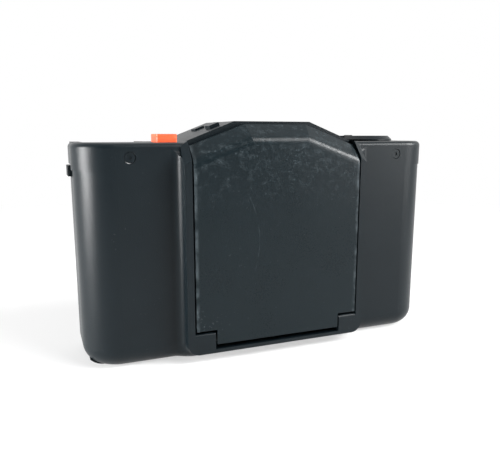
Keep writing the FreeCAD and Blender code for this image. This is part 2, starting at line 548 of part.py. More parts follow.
# ---------------------------------------------------------------- chassis and film transport
CHASSIS_HALF = "(%s - 0.6)" % INNER_HALF
CHASSIS_FRONT = "(%s + 0.2)" % INNER_FRONT
chassis_blank = rounded_block("chassis_blank",
                              ("2 * " + CHASSIS_HALF, "Sizes.film_plane - %s" % CHASSIS_FRONT,
                                                "Sizes.chassis_top - Sizes.chassis_bottom"),
                              ("-" + CHASSIS_HALF, CHASSIS_FRONT, "Sizes.chassis_bottom"),
                              cell.plan_radius - cell.shell_wall, lambda b: upright(b) and b.YMin < 0)
chassis_blank = soften("chassis_foot_round", chassis_blank, cell.foot_radius - cell.shell_wall + 0.4,
                       lambda b: near(b.ZMin, cell.chassis_bottom) and near(b.ZMax, cell.chassis_bottom)
                       and b.YMin < cell.film_plane - 1)
TUNNEL_HALF = "(Sizes.carrier_half + Sizes.fit_gap)"
ROOM_LOW = "(Sizes.chassis_bottom + Sizes.chassis_wall)"
ROOM_HEIGHT = "(Sizes.chassis_top - Sizes.chassis_bottom - 2 * Sizes.chassis_wall)"
cassette_room = join("cassette_room", rod("cassette_round", "Sizes.chamber_radius", ROOM_HEIGHT,
                                          ("Sizes.chamber_x", "Sizes.chamber_y", ROOM_LOW)),
                     block("cassette_mouth", ("2 * Sizes.chamber_radius", 40, ROOM_HEIGHT),
                           ("Sizes.chamber_x - Sizes.chamber_radius", "Sizes.chamber_y", ROOM_LOW)))
spool_room = join("spool_room", rod("spool_round", "Sizes.chamber_radius - 2.2", ROOM_HEIGHT,
                                    ("-Sizes.spool_x", "Sizes.chamber_y", ROOM_LOW)),
                  block("spool_mouth", ("2 * Sizes.chamber_radius - 4.4", 40, ROOM_HEIGHT),
                        ("-Sizes.spool_x - Sizes.chamber_radius + 2.2", "Sizes.chamber_y", ROOM_LOW)))
tunnel = block("light_tunnel", ("2 * " + TUNNEL_HALF, "Sizes.body_depth", "2 * " + TUNNEL_HALF),
               ("-" + TUNNEL_HALF, "Sizes.film_plane - 1.4 - Sizes.body_depth",
                "Sizes.lens_height - " + TUNNEL_HALF))
gate = block("gate_window", ("Sizes.frame_width", 10, "Sizes.frame_height"),
             ("-Sizes.frame_width / 2", "Sizes.film_plane - 5",
              "Sizes.lens_height - Sizes.frame_height / 2"))
SPROCKET = ("-Sizes.sprocket_x + 0.6", "Sizes.film_plane - 2.2")
sprocket_room = rod("sprocket_room", "Sizes.sprocket_radius + 0.6", ROOM_HEIGHT, (*SPROCKET, ROOM_LOW))
BORE_GAP = "Sizes.running_gap"
axle_bores = [rod("spool_axle_bore", "1.5 + " + BORE_GAP, 60, ("-Sizes.spool_x", "Sizes.chamber_y", 0)),
              rod("sprocket_axle_bore", "1.2 + " + BORE_GAP, 60, (*SPROCKET, 0)),
              rod("rewind_shaft_bore", "Sizes.shaft_radius + " + BORE_GAP, 20,
                  ("Sizes.disc_x", "Sizes.disc_y", 40)),
              rod("bush_room", "Sizes.tripod_radius + 3", 7, ("Sizes.tripod_x", "Sizes.tripod_y", 0)),
              rod("release_room", "Sizes.rewind_button_radius + 1.2", 5,
                  ("-Sizes.body_width * 0.13", BASE_Y, 0))]
chassis = keep("film_chassis", cut("film_chassis_cut", chassis_blank, cassette_room, spool_room, tunnel,
                                   gate, sprocket_room,
                                   *axle_bores,
                                   block("chassis_bay",
                                         ("2 * Sizes.bay_half + 1", "Sizes.body_depth / 2",
                                          "Sizes.body_depth * 2"),
                                         ("-Sizes.bay_half - 0.5",
                                          FRONT + " + Sizes.door_depth + 1.2 - Sizes.body_depth / 2", 0))))

take_up_spool = keep("take_up_spool", join("take_up_spool_join",
    rod("spool_core", "Sizes.spool_radius", ROOM_HEIGHT + " - 1",
        ("-Sizes.spool_x", "Sizes.chamber_y", ROOM_LOW + " + 0.5")),
    rod("spool_flange_low", "Sizes.spool_radius + 2.6", 1,
        ("-Sizes.spool_x", "Sizes.chamber_y", ROOM_LOW + " + 0.3")),
    rod("spool_flange_high", "Sizes.spool_radius + 2.6", 1, ("-Sizes.spool_x", "Sizes.chamber_y",
           ROOM_LOW + " + " + ROOM_HEIGHT + " - 1.3")),
    rod("spool_axle", 1.5, "Sizes.chassis_top - Sizes.chassis_bottom",
        ("-Sizes.spool_x", "Sizes.chamber_y", "Sizes.chassis_bottom"))))
teeth = []
for ring, height in enumerate(("Sizes.lens_height - 14.5", "Sizes.lens_height + 13.5")):
    for tooth in range(4):
        pin = rod("sprocket_tooth_%d_%d" % (ring, tooth), 0.6, "2 * Sizes.sprocket_radius + 0.8",
                  ("-Sizes.sprocket_x + 0.6", "Sizes.film_plane - 2.2", height), "x")
        pin.Placement = FreeCAD.Placement(V(0, 0, 0), FreeCAD.Rotation(V(0, 0, 1), 45 * tooth)
                                          .multiply(FreeCAD.Rotation(V(0, 1, 0), 90)))
        angle = "%d" % (45 * tooth)
        place(pin, ("-Sizes.sprocket_x + 0.6 - (Sizes.sprocket_radius + 0.4) * cos(%s)" % angle,
                    "Sizes.film_plane - 2.2 - (Sizes.sprocket_radius + 0.4) * sin(%s)" % angle, height))
        teeth.append(pin)
sprocket = keep("sprocket_shaft", join("sprocket_join",
    rod("sprocket_core", "Sizes.sprocket_radius - 1.4", 34, (*SPROCKET, 10)),
    rod("sprocket_ring_low", "Sizes.sprocket_radius - 0.3", 3, (*SPROCKET, "Sizes.lens_height - 16")),
    rod("sprocket_ring_high", "Sizes.sprocket_radius - 0.3", 3, (*SPROCKET, "Sizes.lens_height + 12")),
    rod("sprocket_axle", 1.2, "Sizes.chassis_top - Sizes.chassis_bottom",
        (*SPROCKET, "Sizes.chassis_bottom")), *teeth))

# ---------------------------------------------------------------- controls on the top
BUTTON_LOW = ("-Sizes.button_x - Sizes.button_width / 2", "-Sizes.button_y - Sizes.button_length / 2")
button_cap = rounded_block("button_cap", ("Sizes.button_width", "Sizes.button_length",
                                          "Sizes.button_top - Sizes.shoulder_height + 2.8"),
                           (*BUTTON_LOW, "Sizes.shoulder_height - 2.8"), 0.5)
release_button = keep("release_button", join("release_button_join", button_cap,
    rod("button_stem", 1.2, 2.6, ("-Sizes.button_x", "-Sizes.button_y", "Sizes.shoulder_height - 5")),
    block("button_flange", ("Sizes.button_width + 1.6", "Sizes.button_length + 1.6", 0.6),
          (BUTTON_LOW[0] + " - 0.8", BUTTON_LOW[1] + " - 0.8",
           "Sizes.shoulder_height - Sizes.shell_wall - 0.7"))))
DISC = ("Sizes.disc_x", "Sizes.disc_y")
rewind_knob = keep("rewind_knob", cut("rewind_knob_cut", join("rewind_knob_join",
    rod("disc_skirt", "Sizes.disc_radius", 0.4, (*DISC, "Sizes.shoulder_height + 0.1")),
    cone("disc_bevel", "Sizes.disc_radius", "Sizes.disc_radius - Sizes.disc_chamfer",
         "Sizes.disc_top - Sizes.shoulder_height - 0.5", (*DISC, "Sizes.shoulder_height + 0.5")),
    rod("rewind_shaft", "Sizes.shaft_radius", "Sizes.shoulder_height + 0.6 - 44", (*DISC, 44)),
    block("rewind_fork", (0.9, 3.4, 4), ("Sizes.disc_x - 0.45", "Sizes.disc_y - 1.7", 41))),
    block("crank_pocket", ("Sizes.disc_radius * 2 - 4.4", 4.6, 2),
          ("Sizes.disc_x - Sizes.disc_radius + 2.2", "Sizes.disc_y - 2.3", "Sizes.disc_top - 1.1")),
    block("crank_notch", (4, 4.0, 2),
          ("Sizes.disc_x - Sizes.disc_radius - 1", "Sizes.disc_y - 2.0", "Sizes.disc_top - 1.1"))))
crank = keep("rewind_crank", cut("rewind_crank_cut", join("rewind_crank_join",
    block("crank_arm", ("Sizes.disc_radius * 2 - 6.6", 3.6, 0.7),
          ("Sizes.disc_x - Sizes.disc_radius + 3.3", "Sizes.disc_y - 1.8",
           "Sizes.disc_top - 0.95")),
    rod("crank_barrel", 0.62, 3.6, ("Sizes.disc_x - Sizes.disc_radius + 3.3", "Sizes.disc_y - 1.8",
                                    "Sizes.disc_top - 0.4"), "y")),
    rod("crank_bore", 0.35, 5, ("Sizes.disc_x - Sizes.disc_radius + 3.3", "Sizes.disc_y - 2.5",
                                "Sizes.disc_top - 0.4"), "y")))
crank_pin = keep("crank_pin", rod("crank_pin_rod", 0.3, 4.6,
                                  ("Sizes.disc_x - Sizes.disc_radius + 3.3", "Sizes.disc_y - 2.3",
           "Sizes.disc_top - 0.4"), "y"))
HUB = ("-(Sizes.body_width / 2 - Sizes.lever_inset)", "Sizes.lever_y")
TIP_X = "-Sizes.body_width / 2 - Sizes.lever_tip_proud"
lever_disc = rod("lever_disc", "Sizes.lever_reach", "Sizes.lever_arm_thick",
                 (*HUB, "Sizes.lever_slot_bottom + 0.8"))
lever_sector = block("lever_sector", (30, 7.5, 6),
                     ("-(Sizes.body_width / 2 - Sizes.lever_inset) - 25", "Sizes.lever_y - 7.7", 45))
ribs = [block("lever_rib_%d" % n, (0.5, 0.5, "Sizes.lever_tip_thick"),
              (TIP_X, "Sizes.lever_y - 7.3 + %0.1f" % (0.95 * n),
               "Sizes.lever_slot_bottom + 0.3")) for n in range(7)]
wind_lever = keep("wind_lever", join("wind_lever_join",
    common("lever_arm", lever_disc, lever_sector),
    rod("lever_hub", "Sizes.hub_radius", "Sizes.lever_arm_thick", (*HUB, "Sizes.lever_slot_bottom + 0.8")),
    block("lever_tip", (2.6, 6.7, "Sizes.lever_tip_thick"),
          (TIP_X + " + 0.3", "Sizes.lever_y - 7.6", "Sizes.lever_slot_bottom + 0.3")),
    rod("lever_shaft", 1.6, 4.2, (*HUB, "Sizes.lever_slot_bottom + 1")), *ribs))
plugs = [cut("plug_%s" % side,
             rod("plug_disc_%s" % side, "Sizes.plug_radius - 0.1", 0.9,
                 (x, FRONT + " + Sizes.face_step + Sizes.plug_recess", "Sizes.plug_height"), "y"),
             rod("plug_dimple_%s" % side, 0.45, 0.3,
                 (x, FRONT + " + Sizes.face_step + Sizes.plug_recess - 0.1", "Sizes.plug_height"), "y"))
         for side, x in (("left", "-Sizes.plug_x"), ("right", "Sizes.plug_x"))]
screw_plugs = doc.addObject("Part::Compound", "screw_plugs_group")
screw_plugs.Links = plugs
keep("screw_plugs", screw_plugs)

SHOE_LEFT = "(-Sizes.shoe_x - %s)" % SHOE_HALF
SHOE_RUN = "(Sizes.body_depth / 2 - Sizes.shoe_front - 0.3)"
SHOE_TALL = "Sizes.shoe_slot + 2 * Sizes.shoe_sheet"
shoe_parts = [block("shoe_floor", ("2 * " + SHOE_HALF, SHOE_RUN, "Sizes.shoe_sheet"),
                    (SHOE_LEFT, "Sizes.shoe_front", SHOE_LOW)),
              block("shoe_stop", ("2 * " + SHOE_HALF, "Sizes.shoe_sheet", SHOE_TALL),
                    (SHOE_LEFT, "Sizes.shoe_front", SHOE_LOW))]
for side, wall_x, lip_x in (("left", SHOE_LEFT, SHOE_LEFT),
                            ("right", "-Sizes.shoe_x + Sizes.shoe_width / 2",
                             "-Sizes.shoe_x + Sizes.shoe_width / 2 + Sizes.shoe_sheet - Sizes.shoe_lip")):
    shoe_parts.append(block("shoe_wall_" + side, ("Sizes.shoe_sheet", SHOE_RUN, SHOE_TALL),
                            (wall_x, "Sizes.shoe_front", SHOE_LOW)))
    shoe_parts.append(block("shoe_rail_" + side, ("Sizes.shoe_lip", SHOE_RUN, "Sizes.shoe_sheet"),
                            (lip_x, "Sizes.shoe_front", "Sizes.shoulder_height - Sizes.shoe_sheet")))
SHOE_MID = ("-Sizes.shoe_x", "Sizes.shoe_front + 8.5")
keep("accessory_shoe", cut("accessory_shoe_cut", join("accessory_shoe_join", *shoe_parts),
                           rod("shoe_contact_hole", 2.2, 2, (*SHOE_MID, SHOE_LOW + " - 1"))))
keep("shoe_contact", join("shoe_contact_join",
                          rod("shoe_insulator", 2.15, "Sizes.shoe_sheet", (*SHOE_MID, SHOE_LOW)),
                          rod("shoe_button", 1.1, "Sizes.shoe_sheet + 0.15", (*SHOE_MID, SHOE_LOW))))
COUNTER = ("-Sizes.counter_x", "Sizes.counter_y")
keep("counter_window", rod("counter_window_disc", "Sizes.counter_radius - 0.05", "Sizes.shell_wall - 0.2",
                           (*COUNTER, "Sizes.shoulder_height - Sizes.shell_wall + 0.15")))
keep("counter_dial", join("counter_dial_join",
    rod("counter_disc", "Sizes.counter_dial_radius", 0.5,
        ("-Sizes.counter_x", "Sizes.counter_y + Sizes.counter_offset",
           "Sizes.shoulder_height - Sizes.shell_wall - 0.9")),
    rod("counter_post", 0.6, 3.4, ("-Sizes.counter_x", "Sizes.counter_y + Sizes.counter_offset",
                                   "Sizes.shoulder_height - Sizes.shell_wall - 4.2"))))
SLOPE_FOOT = "(Sizes.bay_half + Sizes.slope_foot_rim)"
SLOPE_RUN = "(Sizes.slope_foot_rim + Sizes.roof_inset)"
slope_angle = math.degrees(math.atan2(cell.roof_height - cell.shoulder_height,
                                      cell.slope_foot_rim + cell.roof_inset))
for label, across, front_y, length, thick in (("timer_switch", 14.35, -5.5, 4.2, 0.85),
                                              ("backlight_switch", 15.45, 4.5, 4.2, 0.5)):
    share = "(%s - %s) / %s" % (SLOPE_FOOT, across + 1.3, SLOPE_RUN)
    knob = block(label + "_form", (2.7, length, thick), (0, 0, 0))
    knob.Placement = FreeCAD.Placement(V(0, 0, 0), FreeCAD.Rotation(V(0, 1, 0), -slope_angle))
    place(knob, ("-%s" % (across + 1.3), front_y,
                 "Sizes.shoulder_height + (Sizes.roof_height - Sizes.shoulder_height) * %s + 0.03" % share))
    keep(label, knob)
keep("circuit_board", block("circuit_board_form", (40, 18, 1), (-20, -7, "Sizes.chassis_top + 0.4")))

# ---------------------------------------------------------------- lens unit on its sliding carrier


def on_axis(radius, front_y, length, name):
    """A disc or barrel on the lens axis from a distance behind the door's face."""
    return rod(name, radius, length, (0, FRONT + " + %s" % word(front_y), "Sizes.lens_height"), "y")


carrier = keep("lens_carrier", cut("lens_carrier_cut",
    block("carrier_box", ("2 * Sizes.carrier_half", 15.6, "2 * Sizes.carrier_half"),
          ("-Sizes.carrier_half", FRONT + " + 6.2", "Sizes.lens_height - Sizes.carrier_half")),
    block("carrier_room", ("2 * Sizes.carrier_half - 2.4", 15.6, "2 * Sizes.carrier_half - 2.4"),
          ("-Sizes.carrier_half + 1.2", FRONT + " + 6.2 + Sizes.carrier_thick",
           "Sizes.lens_height - Sizes.carrier_half + 1.2")),
    on_axis("Sizes.tube_radius", 5, 5, "carrier_eye")))
lens_barrel = keep("lens_barrel", cut("lens_barrel_cut",
    join("barrel_join", on_axis("Sizes.tube_radius - 0.1", 2.6, 6.4, "barrel_tube"),
         on_axis("Sizes.tube_radius + 2", 8.1, 0.9, "barrel_flange")),
    on_axis("Sizes.glass_radius + 1.6", 2, 10, "barrel_bore")))
aperture_ring = keep("aperture_ring", cut("aperture_ring_cut",
    on_axis("Sizes.aperture_ring_radius", 4.6, 1.5, "aperture_blank"),
    on_axis("Sizes.tube_radius - 0.1 + Sizes.running_gap", 4, 3, "aperture_bore")))
focus_ring = keep("focus_ring", cut("focus_ring_cut",
    on_axis("Sizes.focus_ring_radius", 2.4, 2.0, "focus_blank"),
    on_axis("Sizes.tube_radius - 0.1 + Sizes.running_gap", 2, 3, "focus_bore")))
lens_cell = keep("front_lens_cell", cut("front_lens_cell_cut",
    on_axis("Sizes.glass_radius + 1.6 - Sizes.running_gap", 2.4, 3.6, "cell_tube"),
    cone("cell_flare", "Sizes.glass_radius + 0.9", "Sizes.glass_radius - 0.6", 1.0,
         (0, FRONT + " + 2.3", "Sizes.lens_height"), "y"),
    on_axis("Sizes.glass_radius - 0.6", 2, 6, "cell_bore")))
front_glass = keep("front_lens", common("front_lens_form",
    on_axis("Sizes.glass_radius - 0.65", 3.0, 2.4, "front_glass_disc"),
    ball("front_glass_ball", 16, (0, FRONT + " + 3.1 + 16", "Sizes.lens_height"))))
rear_glass = keep("rear_lens", common("rear_lens_form",
    on_axis(5.4, 11.2, 2.2, "rear_glass_disc"),
    ball("rear_glass_ball", 14, (0, FRONT + " + 13.4 - 14", "Sizes.lens_height"))))
shutter_case = keep("shutter_case", cut("shutter_case_cut",
    join("shutter_join", on_axis("Sizes.carrier_half - 2.2", 9.2, 1.6, "shutter_base"),
         on_axis(6.6, 9.2, 4.2, "rear_cell_tube")),
    on_axis(5.4, 11.0, 4, "rear_cell_bore"), on_axis(4.2, 8, 6, "shutter_eye")))

# ---------------------------------------------------------------- front panel, finder and meter
front_panel = keep("front_panel", cut("front_panel_cut",
    join("front_panel_join",
         block("panel_plate", ("2 * Sizes.bay_half - 0.4", 0.9,
                               "Sizes.seam_height - 0.3 - Sizes.panel_bottom"),
               ("-Sizes.bay_half + 0.2", FRONT + " + Sizes.door_depth + 0.15", "Sizes.panel_bottom")),
         *[block("strut_lug_%s" % side, (1.3, 4.4, 4),
                 (x, FRONT + " + Sizes.door_depth + 0.4 - 4", "Sizes.strut_pivot_height - 2"))
           for side, x in (("left", "-(Sizes.bay_half - Sizes.strut_inset) + Sizes.strut_thick / 2 + 0.2"),
                           ("right", "(Sizes.bay_half - Sizes.strut_inset) - Sizes.strut_thick / 2 - 1.5"))]),
    block("panel_window", ("2 * " + TUNNEL_HALF, 4, "2 * " + TUNNEL_HALF),
          ("-" + TUNNEL_HALF, FRONT + " + Sizes.door_depth - 1", "Sizes.lens_height - " + TUNNEL_HALF))))
hinge_pins = doc.addObject("Part::Compound", "door_hinge_pins_group")
hinge_pins.Links = [rod("hinge_pin_%s" % side, "Sizes.hinge_pin_radius", 8.6,
                        (x, FRONT + " + Sizes.hinge_depth", "Sizes.hinge_height"), "x")
                    for side, x in (("left", "-Sizes.bay_half + 0.6"), ("right", "Sizes.bay_half - 9.2"))]
keep("door_hinge_pins", hinge_pins)
for side, sign in (("left", "-"), ("right", "")):
    centre = "%s(Sizes.bay_half - Sizes.strut_inset) - Sizes.strut_thick / 2" % sign
    pivot_y = FRONT + " + Sizes.strut_depth"
    keep("door_strut_" + side, cut("door_strut_%s_cut" % side, join("door_strut_%s_join" % side,
        block("strut_bar_" + side, ("Sizes.strut_thick", "Sizes.strut_width", "Sizes.strut_length"),
              (centre, pivot_y + " - Sizes.strut_width / 2", "Sizes.strut_pivot_height")),
        rod("strut_eye_low_" + side, "Sizes.strut_width / 2", "Sizes.strut_thick",
            (centre, pivot_y, "Sizes.strut_pivot_height"), "x"),
        rod("strut_eye_high_" + side, "Sizes.strut_width / 2", "Sizes.strut_thick",
            (centre, pivot_y, "Sizes.strut_pivot_height + Sizes.strut_length"), "x")),
        rod("strut_bore_" + side, 0.65, 4, ("%s(Sizes.bay_half - Sizes.strut_inset) - 2" % sign, pivot_y,
                                            "Sizes.strut_pivot_height"), "x")))
STRUT_SIDE = "(Sizes.bay_half - Sizes.strut_inset)"
strut_pins = doc.addObject("Part::Compound", "strut_pins_group")
strut_pins.Links = [rod("strut_pin_%s" % side, 0.6, 1.4,
                        (x, FRONT + " + Sizes.strut_depth", "Sizes.strut_pivot_height"), "x")
                    for side, x in (("left", "-%s - 1.2 + Sizes.strut_thick / 2" % STRUT_SIDE),
                                    ("right", "%s - 0.2 - Sizes.strut_thick / 2" % STRUT_SIDE))]
keep("strut_pins", strut_pins)
finder_tunnel = keep("finder_tunnel", cut("finder_tunnel_cut",
    block("finder_box", ("2 * Sizes.finder_half + 1.2",
                         "Sizes.body_depth - Sizes.roof_lip - 2 * Sizes.shell_wall - 0.4",
                         "Sizes.finder_top - Sizes.finder_bottom + 0.9"),
          ("-Sizes.finder_half - 0.6", LIP + " + Sizes.shell_wall + 0.2", "Sizes.finder_bottom - 0.45")),
    block("finder_way", ("2 * Sizes.finder_half - 0.4", "Sizes.body_depth",
                         "Sizes.finder_top - Sizes.finder_bottom - 0.4"),
          ("-Sizes.finder_half + 0.2", LIP, "Sizes.finder_bottom + 0.2"))))
finder_front = keep("finder_objective", rounded_block("finder_objective_form",
    ("2 * Sizes.finder_half - 0.2", 1.0,
    "Sizes.finder_top - Sizes.finder_bottom - 0.2"),
    ("-Sizes.finder_half + 0.1", LIP + " + 0.1", "Sizes.finder_bottom + 0.1"), 0.7,
    lambda b: near(b.YLength, 1.0, 0.01) and b.XLength < 0.1))
finder_back = keep("finder_eyepiece", rounded_block("finder_eyepiece_form",
           ("2 * Sizes.eyepiece_half - 0.2", 1.0,
    "Sizes.eyepiece_top - Sizes.eyepiece_bottom - 0.2"),
    ("-Sizes.eyepiece_half + 0.1", BACK + " - 1.1", "Sizes.eyepiece_bottom + 0.1"), 0.7,
    lambda b: near(b.YLength, 1.0, 0.01) and b.XLength < 0.1))
meter_cell = keep("meter_cell", join("meter_cell_join",
    rod("meter_window", "Sizes.cell_radius - 0.1", 1.3,
        ("Sizes.cell_x", LIP + " + 0.15", "Sizes.finder_bottom + Sizes.cell_radius + 0.4"), "y"),
    rod("meter_can", "Sizes.cell_radius - 0.4", 3,
        ("Sizes.cell_x", LIP + " + 1.4", "Sizes.finder_bottom + Sizes.cell_radius + 0.4"), "y")))

doc.recompute()
for item in doc.Objects:
    if "Invalid" in item.State or "Error" in item.State:
        raise ValueError("failed object: " + item.Name)
for label, item in nodes:
    if item.Shape.isNull() or not item.Shape.isValid():
        raise ValueError("bad shape: " + label)
    item.Shape.exportStep("parts/%s.step" % label)
    box = item.Shape.BoundBox
    print("%-24s solids %d  volume %9.2f  box %s" % (
        label, len(item.Shape.Solids), item.Shape.Volume,
        " ".join("%.2f" % v for v in (box.XMin, box.XMax, box.YMin, box.YMax, box.ZMin, box.ZMax))))
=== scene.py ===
"""Studio scene of a compact folding film camera, dressed around its frame."""
import json
import logging
from dataclasses import dataclass, field
from enum import Enum
from math import cos, pi, radians, sin
from typing import Any, Iterable, Union

import bmesh
import bpy
from mathutils import Matrix, Vector


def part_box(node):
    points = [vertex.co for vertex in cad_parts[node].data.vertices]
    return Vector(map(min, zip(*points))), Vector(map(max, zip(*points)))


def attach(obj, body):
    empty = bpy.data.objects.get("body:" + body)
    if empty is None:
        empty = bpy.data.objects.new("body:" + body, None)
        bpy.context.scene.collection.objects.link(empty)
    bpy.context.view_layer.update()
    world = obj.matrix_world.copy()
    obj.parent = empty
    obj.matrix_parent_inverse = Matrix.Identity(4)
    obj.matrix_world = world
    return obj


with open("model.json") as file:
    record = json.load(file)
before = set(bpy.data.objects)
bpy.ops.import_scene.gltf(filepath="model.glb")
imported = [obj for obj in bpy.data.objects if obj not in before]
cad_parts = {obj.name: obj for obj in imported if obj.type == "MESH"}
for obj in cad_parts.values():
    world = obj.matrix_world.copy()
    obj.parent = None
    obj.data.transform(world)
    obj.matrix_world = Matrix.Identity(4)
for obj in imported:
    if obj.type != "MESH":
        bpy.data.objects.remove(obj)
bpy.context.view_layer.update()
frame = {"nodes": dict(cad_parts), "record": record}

LOG = logging.getLogger("folding_camera")
MM = 0.001
FORWARD = Vector((0.0, -1.0, 0.0))
Number = Union[float, "Socket"]


class Socket:
    """A node socket that adds Math nodes when it is used in an expression."""

    def __init__(self, tree: bpy.types.NodeTree, out: bpy.types.NodeSocket) -> None:
        """Wraps one output socket of a tree."""
        self.tree = tree
        self.out = out

    def _math(self, operation: str, first: Number, second: Number = 0.0, clamp: bool = False) -> "Socket":
        """Adds one Math node.

        Args:
            operation: The node's operation name.
            first: Its first value or socket.
            second: Its second value or socket.
            clamp: Whether the result is held between 0 and 1.

        Returns:
            The node's result.
        """
        node = self.tree.nodes.new("ShaderNodeMath")
        node.operation = operation
        node.use_clamp = clamp
        for index, value in enumerate((first, second)):
            if isinstance(value, Socket):
                self.tree.links.new(value.out, node.inputs[index])
            else:
                node.inputs[index].default_value = value
        return Socket(self.tree, node.outputs[0])

    def __add__(self, other: Number) -> "Socket":
        """Sum of two values."""
        return self._math("ADD", self, other)

    __radd__ = __add__

    def __mul__(self, other: Number) -> "Socket":
        """Product of two values."""
        return self._math("MULTIPLY", self, other)

    __rmul__ = __mul__

    def __sub__(self, other: Number) -> "Socket":
        """Difference of two values."""
        return self._math("SUBTRACT", self, other)

    def __rsub__(self, other: Number) -> "Socket":
        """Difference with the number first."""
        return self._math("SUBTRACT", other, self)

    def __truediv__(self, other: Number) -> "Socket":
        """Ratio of two values."""
        return self._math("DIVIDE", self, other)

    def size(self) -> "Socket":
        """The value without its sign."""
        return self._math("ABSOLUTE", self)

    def rising(self, low: float, high: float) -> "Socket":
        """0 below the low limit, 1 above the high one and straight between them."""
        return ((self - low) / (high - low)).clamped()

    def above(self, limit: float) -> "Socket":
        """1 where the value is over the limit, otherwise 0."""
        return self._math("GREATER_THAN", self, limit)

    def clamped(self) -> "Socket":
        """The value held between 0 and 1."""
        return self._math("ADD", self, 0.0, clamp=True)


class Shader:
    """Builds one material around a Principled shader."""

    def __init__(self, name: str) -> None:
        """Makes an empty material with its shader and output."""
        self.material = bpy.data.materials.new(name)
        self.material.use_nodes = True
        self.tree = self.material.node_tree
        self.shader = self.tree.nodes["Principled BSDF"]

    def node(self, kind: str, settings: dict[str, Any] | None = None, **values: Any) -> bpy.types.Node:
        """Adds a node, sets it up and feeds its sockets.

        Args:
            kind: The node's type name.
            settings: Properties that are set before the sockets.
            **values: Socket names, with spaces as underscores, and their values or links.

        Returns:
            The new node.
        """
        node = self.tree.nodes.new(kind)
        for key, value in (settings or {}).items():
            setattr(node, key, value)
        for key, value in values.items():
            socket = node.inputs[key.replace("_", " ")]
            if isinstance(value, Socket):
                self.tree.links.new(value.out, socket)
            else:
                socket.default_value = value
        return node

    def out(self, node: bpy.types.Node, name: str | int = 0) -> Socket:
        """One output of a node, ready for expressions."""
        return Socket(self.tree, node.outputs[name])

    def place(self) -> Socket:
        """Position on the object, in metres."""
        return self.out(self.node("ShaderNodeTexCoord"), "Object")

    def axes(self) -> tuple[Socket, Socket, Socket]:
        """Position on the object as three values, in metres."""
        node = self.node("ShaderNodeSeparateXYZ", Vector=self.place())
        return self.out(node, 0), self.out(node, 1), self.out(node, 2)

    def distance(self, point: tuple[float, float, float]) -> Socket:
        """Distance from a point of the object, in metres."""
        node = self.tree.nodes.new("ShaderNodeVectorMath")
        node.operation = "DISTANCE"
        self.tree.links.new(self.place().out, node.inputs[0])
        node.inputs[1].default_value = point
        return Socket(self.tree, node.outputs["Value"])

    def noise(self, scale: float, detail: float = 2.0, roughness: float = 0.5) -> Socket:
        """Noise between 0 and 1 over the object's own position.

        Args:
            scale: Cells per metre.
            detail: Octaves.
            roughness: Weight of the fine octaves.

        Returns:
            The noise value.
        """
        return self.out(self.node("ShaderNodeTexNoise", Vector=self.place(), Scale=scale, Detail=detail,
                                  Roughness=roughness), 0)

    def mix(self, factor: Number, first: Any, second: Any) -> Socket:
        """Colour mix of two colours or sockets by a factor."""
        node = self.tree.nodes.new("ShaderNodeMix")
        node.data_type = "RGBA"
        for index, value in ((0, factor), (6, first), (7, second)):
            if isinstance(value, Socket):
                self.tree.links.new(value.out, node.inputs[index])
            else:
                node.inputs[index].default_value = value
        return Socket(self.tree, node.outputs[2])

    def feed(self, name: str, value: Any) -> None:
        """Sets or links one socket of the shader."""
        socket = self.shader.inputs[name]
        if isinstance(value, Socket):
            self.tree.links.new(value.out, socket)
        else:
            socket.default_value = value

    def bump(self, height: Socket, depth: float, strength: float = 1.0) -> None:
        """Feeds the normal with a bump of a height pattern, depth in metres."""
        node = self.node("ShaderNodeBump", Height=height, Distance=depth, Strength=strength)
        self.tree.links.new(node.outputs[0], self.shader.inputs["Normal"])


def srgb(red: int, green: int, blue: int) -> tuple[float, float, float, float]:
    """A display colour, 0 to 255, as a linear colour.

    Args:
        red: Red.
        green: Green.
        blue: Blue.

    Returns:
        The linear colour with full alpha.
    """
    def linear(value: int) -> float:
        """One channel."""
        part = value / 255.0
        return part / 12.92 if part <= 0.04045 else ((part + 0.055) / 1.055) ** 2.4
    return (linear(red), linear(green), linear(blue), 1.0)


def tinted(colour: tuple[float, float, float, float], gain: float, lift: float = 0.0) -> tuple[float, ...]:
    """A colour made lighter or darker, still opaque."""
    return (*(min(1.0, part * gain + lift) for part in colour[:3]), 1.0)


@dataclass(frozen=True)
class MouldedPlastic:
    """Matte moulded plastic with a fine grain, dust and polished wear."""

    name: str
    colour: tuple[float, float, float, float]
    roughness: float = 0.34
    grain_cells: float = 3400.0
    grain_depth: float = 0.00003
    wear: float = 0.3
    gloss: float = 0.2

    def grained(self) -> tuple[Shader, Socket, Socket]:
        """Starts the material with its colour clouds, specks and grain.

        Returns:
            The shader, its colour and its roughness.
        """
        work = Shader(self.name)
        grain = work.noise(self.grain_cells, 3.0, 0.6)
        cloud = work.noise(60.0, 3.0)
        speck = work.noise(1700.0, 1.0).above(0.74) * work.noise(130.0, 2.0).above(0.52)
        base = work.mix(cloud, tinted(self.colour, 0.8), tinted(self.colour, 1.15))
        base = work.mix((grain - 0.5).size() * 1.6, base, tinted(self.colour, 1.5))
        colour = work.mix(speck * self.wear, base, tinted(self.colour, 2.4, 0.04))
        roughness = (self.roughness + (cloud - 0.5) * 0.16 + (grain - 0.5) * 0.14).clamped()
        work.feed("Specular IOR Level", self.gloss)
        work.bump(grain, self.grain_depth)
        return work, colour, roughness

    def build(self) -> bpy.types.Material:
        """Makes the material."""
        work, colour, roughness = self.grained()
        work.feed("Base Color", colour)
        work.feed("Roughness", roughness)
        return work.material


